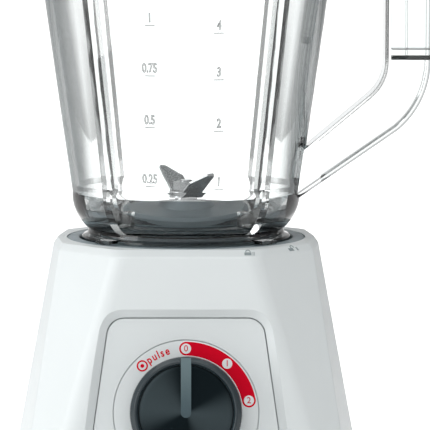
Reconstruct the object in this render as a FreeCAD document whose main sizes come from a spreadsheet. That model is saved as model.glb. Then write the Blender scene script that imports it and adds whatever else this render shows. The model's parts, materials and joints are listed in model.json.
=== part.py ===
"""Countertop blender: motor base with a rotary control, clear jug with a removable blade unit, lid and cap.

Every sub-part is one object of the FreeCAD document, sized by the "Sizes" spreadsheet, and is written to
parts/NODE.step. Frame: millimetres, +Z up, front at -Y, handle at +X. The origin is on the motor axis, level
with the worktop.
"""

import FreeCAD, Part
import math
import os

import Sketcher
from FreeCAD import Placement, Rotation, Vector

X_AXIS = Vector(1, 0, 0)
Y_AXIS = Vector(0, 1, 0)
Z_AXIS = Vector(0, 0, 1)

doc = FreeCAD.newDocument("CountertopBlender")
sheet = doc.addObject("Spreadsheet::Sheet", "Sizes")


# ---------------------------------------------------------------- sizes with their expressions


class Size:
    """A number together with the spreadsheet expression that gives it."""

    def __init__(self, number, text):
        self.number = float(number)
        self.text = text

    def __add__(self, other):
        other = as_size(other)
        return Size(self.number + other.number, f"({self.text} + {other.text})")

    def __radd__(self, other):
        return as_size(other) + self

    def __sub__(self, other):
        other = as_size(other)
        return Size(self.number - other.number, f"({self.text} - {other.text})")

    def __rsub__(self, other):
        return as_size(other) - self

    def __mul__(self, other):
        other = as_size(other)
        return Size(self.number * other.number, f"({self.text} * {other.text})")

    def __rmul__(self, other):
        return as_size(other) * self

    def __truediv__(self, other):
        other = as_size(other)
        return Size(self.number / other.number, f"({self.text} / {other.text})")

    def __rtruediv__(self, other):
        return as_size(other) / self

    def __neg__(self):
        return Size(-self.number, f"(0 - {self.text})")


def as_size(value):
    """A plain number as a Size; a Size as it is."""
    return value if isinstance(value, Size) else Size(value, f"({float(value):.6f})")


def sine(degrees):
    """Sine of a Size in degrees."""
    degrees = as_size(degrees)
    return Size(math.sin(math.radians(degrees.number)), f"sin({degrees.text} * 1deg)")


def cosine(degrees):
    """Cosine of a Size in degrees."""
    degrees = as_size(degrees)
    return Size(math.cos(math.radians(degrees.number)), f"cos({degrees.text} * 1deg)")


class SizeTable:
    """The driving dimensions: each attribute is a Size bound to one aliased cell of the sheet."""

    def __init__(self):
        self.row = 0

    def add(self, alias, number, meaning):
        self.row += 1
        sheet.set(f"A{self.row}", meaning)
        sheet.set(f"B{self.row}", str(number))
        sheet.setAlias(f"B{self.row}", alias)
        setattr(self, alias, Size(number, f"Sizes.{alias}"))


S = SizeTable()
# motor base
S.add("plate_top", 134, "top of the motor base above the worktop")
S.add("skirt_bottom", 4, "lower edge of the base housing")
S.add("base_wall", 2.8, "wall of the base housing")
S.add("face_slope", 0.1734, "outward run of the front and back faces per unit of drop")
S.add("side_slope", 0.186, "outward run of the side faces per unit of drop")
S.add("face_tilt", 9.84, "lean of the front face in degrees")
S.add("front_top", 64, "motor axis to the front face at the top")
S.add("side_top", 63.3, "motor axis to the side face at the top")
S.add("seat_opening", 57.2, "radius of the opening for the seat plate")
# control panel and knob
S.add("knob_height", 61, "knob centre above the worktop")
S.add("panel_recess", 2.4, "depth of the panel below the front face")
S.add("panel_thick", 2.6, "thickness of the control panel")
S.add("panel_top", 43.3, "knob centre to the panel's top edge")
S.add("panel_low", 45.0, "knob centre to the panel's lower edge")
S.add("panel_half_top", 35.2, "half width of the panel at its top edge")
S.add("panel_half_low", 47.6, "half width of the panel at its lower edge")
S.add("bevel", 4.0, "width of the bevel round the panel")
S.add("dial_outer", 33.4, "outer radius of the dial ring")
S.add("knob_outer", 25.8, "outer radius of the knob")
S.add("knob_height_out", 13, "height of the knob above the front face")
# seat and twist lock
S.add("well_floor", 127, "floor of the seat well")
S.add("well_outer", 51, "radius of the seat well")
S.add("foot_outer", 50, "outer radius of the jug foot")
S.add("tab_outer", 54.2, "radius over the jug's locking tabs")
S.add("tab_angle", 12, "angle that a locking tab covers")
S.add("twist_angle", 24, "turn that locks the jug")
S.add("peg_circle", 47.5, "radius of the interlock pegs' circle")
# motor
S.add("shaft_radius", 4, "radius of the motor shaft and the blade shaft")
S.add("running_gap", 0.05, "radial running clearance")
S.add("stack_low", 55, "lower end of the laminations")
S.add("stack_high", 85, "upper end of the laminations")
S.add("core_radius", 18, "radius of the rotor laminations")
# jug
S.add("jug_wall", 3.6, "wall of the jug")
S.add("jug_slope", 0.14, "outward run of the jug wall per unit of height")
S.add("jug_underside", 136.5, "underside of the jug floor")
S.add("jug_floor", 141, "inside floor of the jug")
S.add("jug_rim", 322, "rim of the jug")
S.add("rib_depth", 5.5, "height of the jug's inner ribs")
S.add("rib_width", 4.6, "width of the jug's inner ribs")
S.add("grip_centre", 105.2, "motor axis to the middle of the grip")
S.add("grip_deep", 21.5, "radial width of the handle")
S.add("grip_wide", 25, "width of the handle across")
S.add("holder_opening", 31, "radius of the hole in the jug floor")
# lid
S.add("fill_radius", 22, "radius of the lid's filling hole")
doc.recompute()


# ---------------------------------------------------------------- document helpers


def bind(thing, prop, value):
    """Sets a property from a Size and binds it to the sheet."""
    thing.setExpression(prop, as_size(value).text)


def place(thing, x=0, y=0, z=0, axis=Z_AXIS, degrees=0):
    """Puts a thing at a point, turned about an axis, with its position bound to the sheet."""
    at = [as_size(v) for v in (x, y, z)]
    thing.Placement = Placement(Vector(*[v.number for v in at]), Rotation(axis, as_size(degrees).number))
    for letter, value in zip("xyz", at):
        thing.setExpression(f"Placement.Base.{letter}", value.text if "Sizes" in value.text else None)
    return thing


def new_body(label):
    """An empty PartDesign body."""
    body = doc.addObject("PartDesign::Body", label)
    body.Label = label
    return body


def plane_of(body, role):
    """One of the body's own origin planes, such as XY_Plane."""
    return next(f for f in body.Origin.OriginFeatures if f.Role == role)


def new_sketch(body, role="XY_Plane", z=0):
    """A sketch on an origin plane, moved along the plane's normal."""
    sketch = body.newObject("Sketcher::SketchObject", body.Label + "_sketch")
    sketch.AttachmentSupport = [(plane_of(body, role), "")]
    sketch.MapMode = "FlatFace"
    z = as_size(z)
    sketch.AttachmentOffset = Placement(Vector(0, 0, z.number), Rotation())
    if "Sizes" in z.text:
        bind(sketch, "AttachmentOffset.Base.z", z)
    return sketch


def pin_point(sketch, geometry, end, x, y):
    """Fixes one point of a sketch at (x, y), each bound to the sheet."""
    for kind, value in (("DistanceX", x), ("DistanceY", y)):
        value = as_size(value)
        index = sketch.addConstraint(Sketcher.Constraint(kind, -1, 1, geometry, end, value.number))
        if "Sizes" in value.text:
            bind(sketch, f"Constraints[{index}]", value)


def add_circle(sketch, radius, x=0, y=0):
    """A circle whose centre and radius are bound to the sheet."""
    radius, x, y = as_size(radius), as_size(x), as_size(y)
    circle = sketch.addGeometry(Part.Circle(Vector(x.number, y.number, 0), Z_AXIS, radius.number), False)
    pin_point(sketch, circle, 3, x, y)
    index = sketch.addConstraint(Sketcher.Constraint("Radius", circle, radius.number))
    bind(sketch, f"Constraints[{index}]", radius)


def add_outline(sketch, points, bulges=None):
    """A closed outline through points. bulges maps a side's number to how far it bows out to its right."""
    bulges = bulges or {}
    corners = [(as_size(x), as_size(y)) for x, y in points]
    sides = []
    for i, (x0, y0) in enumerate(corners):
        x1, y1 = corners[(i + 1) % len(corners)]
        start = Vector(x0.number, y0.number, 0)
        end = Vector(x1.number, y1.number, 0)
        if i in bulges:
            bulge = as_size(bulges[i])
            along = (end - start).normalize()
            outward = Vector(along.y, -along.x, 0)
            middle = (start + end) * 0.5 + outward * bulge.number
            first, last = (start, end) if bulge.number > 0 else (end, start)
            sides.append(sketch.addGeometry(Part.Arc(first, middle, last), False))
        else:
            sides.append(sketch.addGeometry(Part.LineSegment(start, end), False))
    for i, side in enumerate(sides):
        following = sides[(i + 1) % len(sides)]
        first, last = ends_of(sketch, side, corners[i])
        next_first, _ = ends_of(sketch, following, corners[(i + 1) % len(corners)])
        pin_point(sketch, side, first, *corners[i])
        sketch.addConstraint(Sketcher.Constraint("Coincident", side, last, following, next_first))
    for i, bulge in bulges.items():
        (x0, y0), (x1, y1) = corners[i], corners[(i + 1) % len(corners)]
        chord_squared = (x1 - x0) * (x1 - x0) + (y1 - y0) * (y1 - y0)
        bulge = as_size(bulge) if as_size(bulge).number > 0 else -as_size(bulge)
        radius = (chord_squared / 4 + bulge * bulge) / (2 * bulge)
        index = sketch.addConstraint(Sketcher.Constraint("Radius", sides[i], radius.number))
        bind(sketch, f"Constraints[{index}]", radius)


def ends_of(sketch, side, corner):
    """The point numbers of a side's two ends, the one at the given corner first."""
    curve = sketch.Geometry[side]
    here = Vector(corner[0].number, corner[1].number, 0)
    return (1, 2) if (curve.StartPoint - here).Length < (curve.EndPoint - here).Length else (2, 1)


def pad(body, sketch, length, both_ways=False, reverse=False):
    """A pad of the sketch; both_ways centres it on the sketch plane."""
    feature = body.newObject("PartDesign::Pad", body.Label + "_pad")
    feature.Profile = sketch
    feature.Midplane = both_ways
    feature.Reversed = reverse
    bind(feature, "Length", length)
    return finish_feature(body, feature)


def pocket(body, sketch, length, both_ways=False, reverse=False):
    """A pocket of the sketch, checked to have removed material."""
    before = body.Shape.Volume
    feature = body.newObject("PartDesign::Pocket", body.Label + "_pocket")
    feature.Profile = sketch
    feature.Midplane = both_ways
    feature.Reversed = reverse
    bind(feature, "Length", length)
    finish_feature(body, feature)
    if body.Shape.Volume > before - 0.01:
        raise RuntimeError(f"a pocket in {body.Label} cuts nothing")
    return feature


def revolve(body, sketch):
    """A full turn of a sketch in the XZ plane about Z."""
    feature = body.newObject("PartDesign::Revolution", body.Label + "_turned")
    feature.Profile = sketch
    feature.ReferenceAxis = (sketch, ["V_Axis"])
    feature.Angle = 360
    return finish_feature(body, feature)


def around(body, feature, count):
    """Repeats a feature evenly round the Z axis."""
    pattern = body.newObject("PartDesign::PolarPattern", body.Label + "_around")
    pattern.Originals = [feature]
    pattern.Axis = (plane_of(body, "Z_Axis"), [""])
    pattern.Angle = 360
    pattern.Occurrences = count
    return finish_feature(body, pattern)


def finish_feature(body, feature):
    """Makes a feature the body's tip and recomputes."""
    body.Tip = feature
    doc.recompute()
    return feature


def rounded(body, radius, picks):
    """Fillets the edges of the tip that a test picks."""
    feature = body.newObject("PartDesign::Fillet", body.Label + "_fillet")
    return dress(body, feature, "Radius", radius, picks)


def chamfered(body, size, picks, second=None):
    """Chamfers the edges of the tip that a test picks; second is the distance along the other face."""
    feature = body.newObject("PartDesign::Chamfer", body.Label + "_chamfer")
    if second is not None:
        feature.ChamferType = "Two distances"
        bind(feature, "Size2", second)
    return dress(body, feature, "Size", size, picks)


def dress(body, feature, prop, value, picks):
    """Sets up a fillet or chamfer on the picked edges of the feature before it."""
    base = body.Tip if body.Tip != feature else feature.BaseFeature
    names = [f"Edge{i + 1}" for i, e in enumerate(base.Shape.Edges) if picks(e)]
    if not names:
        raise RuntimeError(f"no edge of {body.Label} was picked to dress")
    feature.Base = (base, names)
    bind(feature, prop, value)
    return finish_feature(body, feature)


def circle_at(radius, height, slack=0.05):
    """A test for full circular edges of a radius at a height."""
    radius, height = as_size(radius).number, as_size(height).number

    def picks(edge):
        curve = edge.Curve
        if not isinstance(curve, Part.Circle) or abs(curve.Radius - radius) > slack:
            return False
        return abs(curve.Center.z - height) < slack and abs(curve.Axis.z) > 0.99

    return picks


def turned(label, points, bulges=None):
    """A body turned about Z from an outline of (radius, height) points."""
    body = new_body(label)
    sketch = new_sketch(body, "XZ_Plane")
    add_outline(sketch, points, bulges)
    revolve(body, sketch)
    return body


def ring_points(inner, outer, low, high):
    """The outline of a plain ring's section."""
    return [(inner, low), (outer, low), (outer, high), (inner, high)]


def cylinder(name, radius, height, x=0, y=0, z=0, axis=Z_AXIS, degrees=0):
    """A Part cylinder with its sizes and place bound to the sheet."""
    solid = doc.addObject("Part::Cylinder", name)
    bind(solid, "Radius", radius)
    bind(solid, "Height", height)
    return place(solid, x, y, z, axis, degrees)


def box(name, length, width, height, x=0, y=0, z=0):
    """A Part box from its middle in X and Y and its underside."""
    solid = doc.addObject("Part::Box", name)
    for prop, value in (("Length", length), ("Width", width), ("Height", height)):
        bind(solid, prop, value)
    return place(solid, as_size(x) - as_size(length) / 2, as_size(y) - as_size(width) / 2, z)


def cut(label, base, tool):
    """base less tool."""
    result = doc.addObject("Part::Cut", label)
    result.Label = label
    result.Base, result.Tool = base, tool
    return result


def fuse(label, *solids):
    """Several touching solids as one."""
    result = doc.addObject("Part::MultiFuse", label)
    result.Label = label
    result.Shapes = list(solids)
    return result


def common(label, one, other):
    """What two solids share."""
    result = doc.addObject("Part::Common", label)
    result.Label = label
    result.Base, result.Tool = one, other
    return result


def group(label, solids):
    """Several separate solids as one sub-part."""
    result = doc.addObject("Part::Compound", label)
    result.Label = label
    result.Links = list(solids)
    return result


def save_all(labels):
    """Checks every object and writes each sub-part's STEP file."""
    doc.recompute()
    bad = [o.Name for o in doc.Objects if "Invalid" in o.State or "Error" in o.State]
    if bad:
        raise RuntimeError(f"failed objects: {bad}")
    os.makedirs("parts", exist_ok=True)
    for old in os.listdir("parts"):
        os.remove(os.path.join("parts", old))
    for label in labels:
        found = doc.getObjectsByLabel(label)
        if len(found) != 1:
            raise RuntimeError(f"{label}: {len(found)} objects have this label")
        shape = found[0].Shape
        if shape.isNull() or not shape.isValid() or not shape.Solids:
            raise RuntimeError(f"{label}: its shape is null, invalid or has no solid")
        if any(s.Volume <= 0 for s in shape.Solids):
            raise RuntimeError(f"{label}: a solid has no volume")
        shape.exportStep(f"parts/{label}.step")


# ---------------------------------------------------------------- motor base: housing


TOP = S.plate_top.number
BASE_SHELL = S.base_wall.number
SIDE_FOLD = 0.1175  # how far a side's middle stands out, per unit of half its length
FACET_RUN = 0.925  # how far a facet runs along X, per unit of its run along Y
HALF_SIDE_TOP = 33.6
HALF_SIDE_LOW = 76


def base_share(height):
    """How far down the base a height lies: 0 at the top, 1 at the skirt's edge."""
    return (S.plate_top.number - height) / (S.plate_top.number - S.skirt_bottom.number)


def base_corners(height, inset, side_inset):
    """The ten corners of the base's plan: flat front and back, four facets, sides folded in the middle."""
    drop = S.plate_top.number - height
    front = S.front_top.number + S.face_slope.number * drop - inset
    side = S.side_top.number + S.side_slope.number * drop - side_inset
    half_side = HALF_SIDE_TOP + (HALF_SIDE_LOW - HALF_SIDE_TOP) * base_share(height) - 0.4 * inset
    crease = (side - SIDE_FOLD * half_side, half_side)
    front_x = crease[0] - FACET_RUN * (front - half_side)
    quarter = [(front_x, -front), (crease[0], -crease[1]), (side, 0), crease, (front_x, front)]
    return quarter + [(-x, y) for x, y in reversed(quarter)]


def rounded_wire(corners, radii, height):
    """A closed wire through corners, each blended by a tangent arc of its own radius."""
    points = [Vector(x, y, height) for x, y in corners]
    blends = []
    for i, corner in enumerate(points):
        back = (points[i - 1] - corner).normalize()
        ahead = (points[(i + 1) % len(points)] - corner).normalize()
        half_angle = back.getAngle(ahead) / 2
        inward = (back + ahead).normalize()
        reach = radii[i] / math.tan(half_angle)
        middle = corner + inward * (radii[i] / math.sin(half_angle) - radii[i])
        blends.append((corner + back * reach, middle, corner + ahead * reach))
    edges = []
    for i, (start, middle, end) in enumerate(blends):
        edges.append(Part.Arc(start, middle, end).toShape())
        edges.append(Part.LineSegment(end, blends[(i + 1) % len(blends)][0]).toShape())
    return Part.Wire(edges)


def base_form(label, sections):
    """The base's form through sections: (height, inset of the front and back, inset of the sides)."""
    wires = []
    for height, inset, side_inset in sections:
        share = base_share(height)
        corner, crease, fold = 10 + 3 * share, 3 + 0.8 * max(inset - BASE_SHELL, 0), 40 + 30 * share
        quarter = [corner, crease, fold, crease, corner]
        wires.append(rounded_wire(base_corners(height, inset, side_inset), quarter + quarter, height))
    form = doc.addObject("Part::Feature", label)
    form.Label = label
    form.Shape = Part.makeLoft(wires, True, True)
    return form


GLAND_HEIGHT = 24


class FaceFrame:
    """The front face's own frame at the knob: right along +X, up along the leaning face, and out of it."""

    turn = 90 - S.face_tilt.number
    out_y = -S.front_top - S.face_slope * (S.plate_top - S.knob_height)

    def put(self, thing, right=0, up=0, out=0, spin=0):
        """Places a thing at (right, up, out) from the knob's centre, spun about the axis out of the face."""
        up, out = as_size(up), as_size(out)
        y = self.out_y + up * sine(S.face_tilt) - out * cosine(S.face_tilt)
        z = S.knob_height + up * cosine(S.face_tilt) + out * sine(S.face_tilt)
        place(thing, right, y, z)
        lean = Rotation(X_AXIS, self.turn)
        thing.Placement = Placement(thing.Placement.Base, lean.multiply(Rotation(Z_AXIS, spin)))
        return thing


face = FaceFrame()


def on_back(thing, out=0):
    """Places a thing on the back face at the gland's height, its own Z pointing out of the leaning face."""
    out = as_size(out)
    wall = S.front_top + S.face_slope * (S.plate_top - GLAND_HEIGHT)
    place(thing, 0, wall + out * cosine(S.face_tilt), GLAND_HEIGHT + out * sine(S.face_tilt))
    thing.Placement = Placement(thing.Placement.Base, Rotation(X_AXIS, -face.turn))
    return thing


def panel_outline(grow=0):
    """The control panel's trapezoid about the knob's centre, grown by a margin."""
    grow = as_size(grow)
    side_grow = 1.01 * grow
    return [
        (-S.panel_half_low - side_grow, -S.panel_low - grow),
        (S.panel_half_low + side_grow, -S.panel_low - grow),
        (S.panel_half_top + side_grow, S.panel_top + grow),
        (-S.panel_half_top - side_grow, S.panel_top + grow),
    ]


def panel_solid(label, thick, grow, radius):
    """A plate of the panel's shape with rounded corners, its outer side on the face plane."""
    body = new_body(label)
    sketch = new_sketch(body)
    add_outline(sketch, panel_outline(grow))
    pad(body, sketch, thick, reverse=True)
    rounded(body, radius, lambda e: abs(e.tangentAt(e.FirstParameter).z) > 0.99)
    return body


def sector(name, inner, outer, height, z, middle, sweep):
    """A sector of a ring, its middle at an angle in degrees from +X."""
    solids = []
    for suffix, radius, extra in (("_outer", outer, 0), ("_inner", inner, 1)):
        solid = doc.addObject("Part::Cylinder", name + suffix)
        bind(solid, "Radius", radius)
        bind(solid, "Height", as_size(height) + 2 * extra)
        bind(solid, "Angle", as_size(sweep) + 4 * extra)
        start = as_size(middle) - as_size(sweep) / 2 - 2 * extra
        solids.append(place(solid, 0, 0, as_size(z) - extra, Z_AXIS, start))
    return cut(name, *solids)


def ring(name, inner, outer, height, z, x=0, y=0):
    """A plain ring standing at (x, y, z)."""
    outside = cylinder(name + "_outside", outer, height, x, y, z)
    inside = cylinder(name + "_inside", inner, as_size(height) + 2, x, y, as_size(z) - 1)
    return cut(name, outside, inside)


def polar(count, first, radius):
    """Points spaced evenly round a circle, as (x, y) sizes."""
    radius = as_size(radius)
    angles = [first + 360 * i / count for i in range(count)]
    return [(radius * math.cos(math.radians(a)), radius * math.sin(math.radians(a))) for a in angles]


def corners(x, y):
    """The four points (+-x, +-y)."""
    return [(sx * x, sy * y) for sx in (1, -1) for sy in (1, -1)]


FOOT_X, FOOT_Y = 62, 68
SCREW_X, SCREW_Y = 70, 42
TAB_ANGLES = [45, 135, 225, 315]
PEG_ANGLES = [0, 120, 240]
BACKING = 8.6

# the housing: a shell open below, with a sunk panel seat at the front and screw posts inside
outer_form = base_form("outer_form", [
    (S.skirt_bottom.number, 0, 0),
    (TOP - 3.4, 0, 0),
    (TOP - 2.8, 0.3, 0.1),
    (TOP - 2.4, 0.9, 0.25),
    (TOP, 5.4, 1.6),
])
inner_form = base_form("inner_form", [
    (S.skirt_bottom.number - 1, BASE_SHELL, BASE_SHELL),
    (TOP - 5.6, BASE_SHELL, BASE_SHELL),
    (TOP - 3, 8, 5),
])
shell = cut("housing_shell", outer_form, inner_form)
backing = face.put(panel_solid("panel_backing", BACKING, 6, 10))
posts = [
    cylinder(f"post_{i}", 4.6, 22, x, y, 7.6) for i, (x, y) in enumerate(corners(SCREW_X, SCREW_Y))
]
webs = [
    box(f"web_{i}", 12, 3, 22, x + math.copysign(6, x), y, 7.6)
    for i, (x, y) in enumerate(corners(SCREW_X, SCREW_Y))
]
inside_parts = common("inside_parts", fuse("inside_added", backing, *posts, *webs), outer_form)


def make_recess():
    """The bevelled recess that the control panel sits in."""
    wires = []
    for out, grow, radius in ((0.01, S.bevel, 11.8), (-S.panel_recess.number, 0.55, 8.6)):
        corners_here = [(as_size(x).number, as_size(y).number) for x, y in panel_outline(grow)]
        wires.append(rounded_wire(corners_here, [radius] * 4, out))
    recess = doc.addObject("Part::Feature", "panel_recess")
    recess.Shape = Part.makeLoft(wires, True, True)
    return face.put(recess)


panel_seat = face.put(panel_solid("panel_seat", S.panel_recess + S.panel_thick, 0.45, 8.4))
spindle_hole = face.put(cylinder("switch_hole", 5.1, 20), out=-16)
screw_bores = [
    cylinder(f"screw_bore_{i}", 1.4, 18, x, y, 7) for i, (x, y) in enumerate(corners(SCREW_X, SCREW_Y))
]
seat_hole = cylinder("seat_hole", S.seat_opening, 12, 0, 0, 124)
gland_hole = cylinder("gland_hole", 6.3, 30)
on_back(gland_hole, -15)
front_cuts = fuse("front_cuts", make_recess(), panel_seat, spindle_hole)
housing_cuts = fuse("housing_cuts", front_cuts, *screw_bores, seat_hole, gland_hole)
housing = cut("base_housing", fuse("housing_body", shell, inside_parts), housing_cuts)

# bottom cover, feet and screws
COVER_GAP = BASE_SHELL + 0.4
cover_form = base_form("cover_form", [(4.2, COVER_GAP, COVER_GAP), (7.2, COVER_GAP, COVER_GAP)])
vent_slots = [box(f"vent_{i}", 3, 44, 8, 10 * i - 30, 0, 2) for i in range(7)]
cover_holes = [
    cylinder(f"cover_hole_{i}", 1.7, 8, x, y, 2) for i, (x, y) in enumerate(corners(SCREW_X, SCREW_Y))
]
bottom_cover = cut("bottom_cover", cover_form, fuse("cover_cuts", *vent_slots, *cover_holes))


def foot(i, x, y):
    """A rubber foot against the bottom cover, a little narrower at the worktop."""
    rubber = doc.addObject("Part::Cone", f"foot_{i}")
    bind(rubber, "Radius1", 8)
    bind(rubber, "Radius2", 9)
    bind(rubber, "Height", 4.2)
    return place(rubber, x, y, 0)


feet = group("feet", [foot(i, x, y) for i, (x, y) in enumerate(corners(FOOT_X, FOOT_Y))])


def cover_screw(i, x, y):
    """A pan-head screw from below: a head against the cover and a shank into the post."""
    head = cylinder(f"screw_head_{i}", 3, 2, x, y, 2.2)
    shank = cylinder(f"screw_shank_{i}", 1.4, 19.8, x, y, 4.2)
    slot = box(f"screw_slot_{i}", 4.4, 0.8, 1, x, y, 2.0)
    return cut(f"cover_screw_{i}", fuse(f"screw_blank_{i}", head, shank), slot)


screw_places = enumerate(corners(SCREW_X, SCREW_Y))
cover_screws = group("cover_screws", [cover_screw(i, x, y) for i, (x, y) in screw_places])


gland_profile = [(4, -9), (6.2, -9), (6.2, 0), (9, 0), (9, 2.2), (6.4, 12), (4, 12)]
cord_gland = on_back(turned("cord_gland", gland_profile))

# ---------------------------------------------------------------- motor base: seat plate and interlock

PLATE_UNDER = 124


def make_seat_plate():
    """The seat for the jug: a sunk well with an undercut groove, notches for the tabs and a centre hole."""
    rim = S.seat_opening - 0.3
    profile = [
        (9, PLATE_UNDER),
        (60, PLATE_UNDER),
        (60, 126.6),
        (rim, 126.6),
        (rim, S.plate_top - 0.6),
        (rim - 0.6, S.plate_top),
        (S.well_outer + 0.5, S.plate_top),
        (S.well_outer, S.plate_top - 0.5),
        (S.well_outer, 131.5),
        (S.tab_outer + 0.8, 131.5),
        (S.tab_outer + 0.8, S.well_floor),
        (9, S.well_floor),
    ]
    blank = turned("seat_turned", profile)
    notches = [
        sector(f"seat_notch_{a}", S.well_outer - 2, S.tab_outer + 0.8, 4, 131, a, S.tab_angle + 3)
        for a in TAB_ANGLES
    ]
    slots = [
        sector(f"peg_slot_{a}", S.peg_circle - 1.9, S.peg_circle + 1.9, 5, 123, a - S.twist_angle / 2,
               S.twist_angle + 6)
        for a in PEG_ANGLES
    ]
    bosses = [
        cylinder(f"mount_boss_{i}", 5, 12.2, x, y, 112) for i, (x, y) in enumerate(polar(4, 45, 30))
    ]
    bores = [
        cylinder(f"mount_bore_{i}", 1.6, 10, x, y, 111) for i, (x, y) in enumerate(polar(4, 45, 30))
    ]
    ring_guide = ring("ring_guide", 39.5, 41.5, 5.2, 119)
    body = fuse("seat_body", blank, ring_guide, *bosses)
    return cut("seat_plate", body, fuse("seat_cuts", *notches, *slots, *bores))


seat_plate = make_seat_plate()


def make_interlock_ring():
    """The ring under the seat: its pegs reach through the seat's slots into the jug's foot."""
    blank = ring("ring_flat", 41.7, 52, 3.2, 120.5)
    pegs = [
        cylinder(f"peg_{i}", 1.4, 8, x, y, 122) for i, (x, y) in enumerate(polar(3, 0, S.peg_circle))
    ]
    lock_lugs = [sector(f"ring_lug_{a}", 51, 53.6, 3.2, 120.5, a, 20) for a in (90, 270)]
    return fuse("interlock_ring", blank, *pegs, *lock_lugs)


interlock_ring = make_interlock_ring()
CLIP_ANGLES = (30, 150, 270)
CLIP_LOW = 118.2
clip_feet = [sector(f"clip_foot_{a}", 50, 57, 2, CLIP_LOW, a, 14) for a in CLIP_ANGLES]
clip_legs = [sector(f"clip_leg_{a}", 54.2, 57, 5.8, CLIP_LOW, a, 14) for a in CLIP_ANGLES]
ring_clips = fuse("ring_clips", *clip_feet, *clip_legs)

SWITCH_ANGLE = -60
CAM_RISE = 1.2


def make_cam():
    """The sloping cam under the interlock ring that presses the switch plunger as the jug locks."""
    wedge = new_body("cam_wedge")
    reach = 2 * S.peg_circle * math.sin(math.radians(12))
    lead = -0.2
    low = lead - CAM_RISE
    sketch = new_sketch(wedge, "XZ_Plane")
    add_outline(sketch, [(0, 0), (0, lead), (reach, low), (reach + 5, low), (reach + 5, 0)])
    pad(wedge, sketch, 3, both_ways=True)
    middle = math.radians(SWITCH_ANGLE + 12)
    start_x = S.peg_circle * math.cos(math.radians(SWITCH_ANGLE))
    start_y = S.peg_circle * math.sin(math.radians(SWITCH_ANGLE))
    return place(wedge, start_x, start_y, 120.55, Z_AXIS, math.degrees(middle) + 90)


ring_with_cam = fuse("ring_cam", interlock_ring, make_cam())
interlock_ring.Label = "ring_plain"
ring_with_cam.Label = "interlock_ring"

switch_block = box("switch_block", 8, 12, 12, S.peg_circle, 0, 104)
switch_bore = cylinder("switch_bore", 1.55, 9, S.peg_circle, 0, 109)
interlock_switch = cut("interlock_switch", switch_block, switch_bore)
plunger = cylinder("plunger_pin", 1.5, 9.0, S.peg_circle, 0, 111.2)
plunger.Label = "switch_plunger"
switch_bracket = box("switch_bracket", 3.9, 8, 15, 41.55, 0, 104)
for piece in (interlock_switch, plunger, switch_bracket):
    swing = Rotation(Z_AXIS, SWITCH_ANGLE)
    piece.Placement = Placement(swing.multVec(piece.Placement.Base), swing)

# ---------------------------------------------------------------- control panel and knob


DIAL_THICK = 1.4
DIAL_GAP = 0.46
DIAL_LOW = -S.panel_recess - DIAL_THICK


def make_panel():
    """The control panel: a rounded plate with a round seat for the dial and a hole for the switch neck."""
    blank = face.put(panel_solid("panel_blank", S.panel_thick, -0.1, 7.9), out=-S.panel_recess)
    dial_seat = face.put(cylinder("dial_seat", S.dial_outer + DIAL_GAP / 2, 3), out=DIAL_LOW)
    neck_hole = face.put(cylinder("neck_hole", 5.1, 12), out=-10)
    return cut("control_panel", blank, fuse("panel_cuts", dial_seat, neck_hole))


control_panel = make_panel()
dial_blank = face.put(cylinder("dial_blank", S.dial_outer - DIAL_GAP / 2, DIAL_THICK), out=DIAL_LOW)
dial_hole = face.put(cylinder("dial_hole", 5.1, 12), out=-10)
dial_ring = cut("dial_ring", dial_blank, dial_hole)


def make_switch():
    """The rotary switch behind the panel: a box with a round neck through the housing and the panel."""
    case = new_body("switch_case")
    sketch = new_sketch(case)
    add_outline(sketch, [(-15, -15), (15, -15), (15, 15), (-15, 15)])
    pad(case, sketch, 16, reverse=True)
    face.put(case, out=-BACKING)
    neck = face.put(cylinder("switch_neck", 4.9, 6.4), out=-BACKING - 0.1)
    bore = face.put(cylinder("neck_bore", 3.05, 30), out=-BACKING - 12)
    return cut("rotary_switch", fuse("switch_blank", case, neck), bore)


rotary_switch = make_switch()
KNOB_FOOT = -1.5


def make_knob():
    """The knob: a cup with a rounded rim, a dish for its face disc and a hub with a blind bore."""
    top = S.knob_height_out
    outer = S.knob_outer
    profile = [
        (3.0, KNOB_FOOT + 1),
        (6.5, KNOB_FOOT + 1),
        (6.5, top - 4.2),
        (outer - 2.2, top - 4.2),
        (outer - 2.2, KNOB_FOOT),
        (outer, KNOB_FOOT),
        (outer - 0.5, top - 1.6),
        (outer - 2.0, top),
        (outer - 3.4, top),
        (outer - 4.1, top - 1.6),
        (2.0, top - 1.6),
        (2.0, top - 3.4),
        (3.0, top - 3.4),
    ]
    return turned("knob_turned", profile, {7: 0.45})


knob_blank = face.put(make_knob())
POINTER_WIDTH = 4.7


def make_bar(label, half, low, high, thick, out):
    """An upright bar with a round lower end on the knob's face."""
    body = new_body(label)
    sketch = new_sketch(body)
    add_outline(sketch, [(half, low), (half, high), (-half, high), (-half, low)], {3: as_size(half) - 0.01})
    pad(body, sketch, thick)
    return face.put(body, out=out)


DISH = S.knob_height_out - 1.6
DISC_RADIUS = S.knob_outer - 4.2
pointer_slot = make_bar("pointer_slot", POINTER_WIDTH / 2 + 0.1, 0, S.knob_outer - 0.6, 4, DISH)
knob = cut("knob", knob_blank, pointer_slot)
knob_pointer = make_bar("knob_pointer", POINTER_WIDTH / 2, 0, S.knob_outer - 0.9, 1.9, DISH)
disc_profile = [(0, DISH), (DISC_RADIUS, DISH), (DISC_RADIUS, DISH + 0.7), (0, DISH + 0.9)]
disc_blank = face.put(turned("disc_turned", disc_profile))
face_slot = make_bar("face_slot", POINTER_WIDTH / 2 + 0.05, 0, S.knob_outer, 4, DISH - 0.4)
knob_face = cut("knob_face", disc_blank, face_slot)
spindle_pin = face.put(cylinder("spindle_pin", 3.0, S.knob_height_out - 3.4 + 20.4), out=-20.4)
spindle_pin.Label = "switch_spindle"

# ---------------------------------------------------------------- motor

BEARING_RADIUS = 9
BEARING_LONG = 6
POST_RING = 34.5


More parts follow.
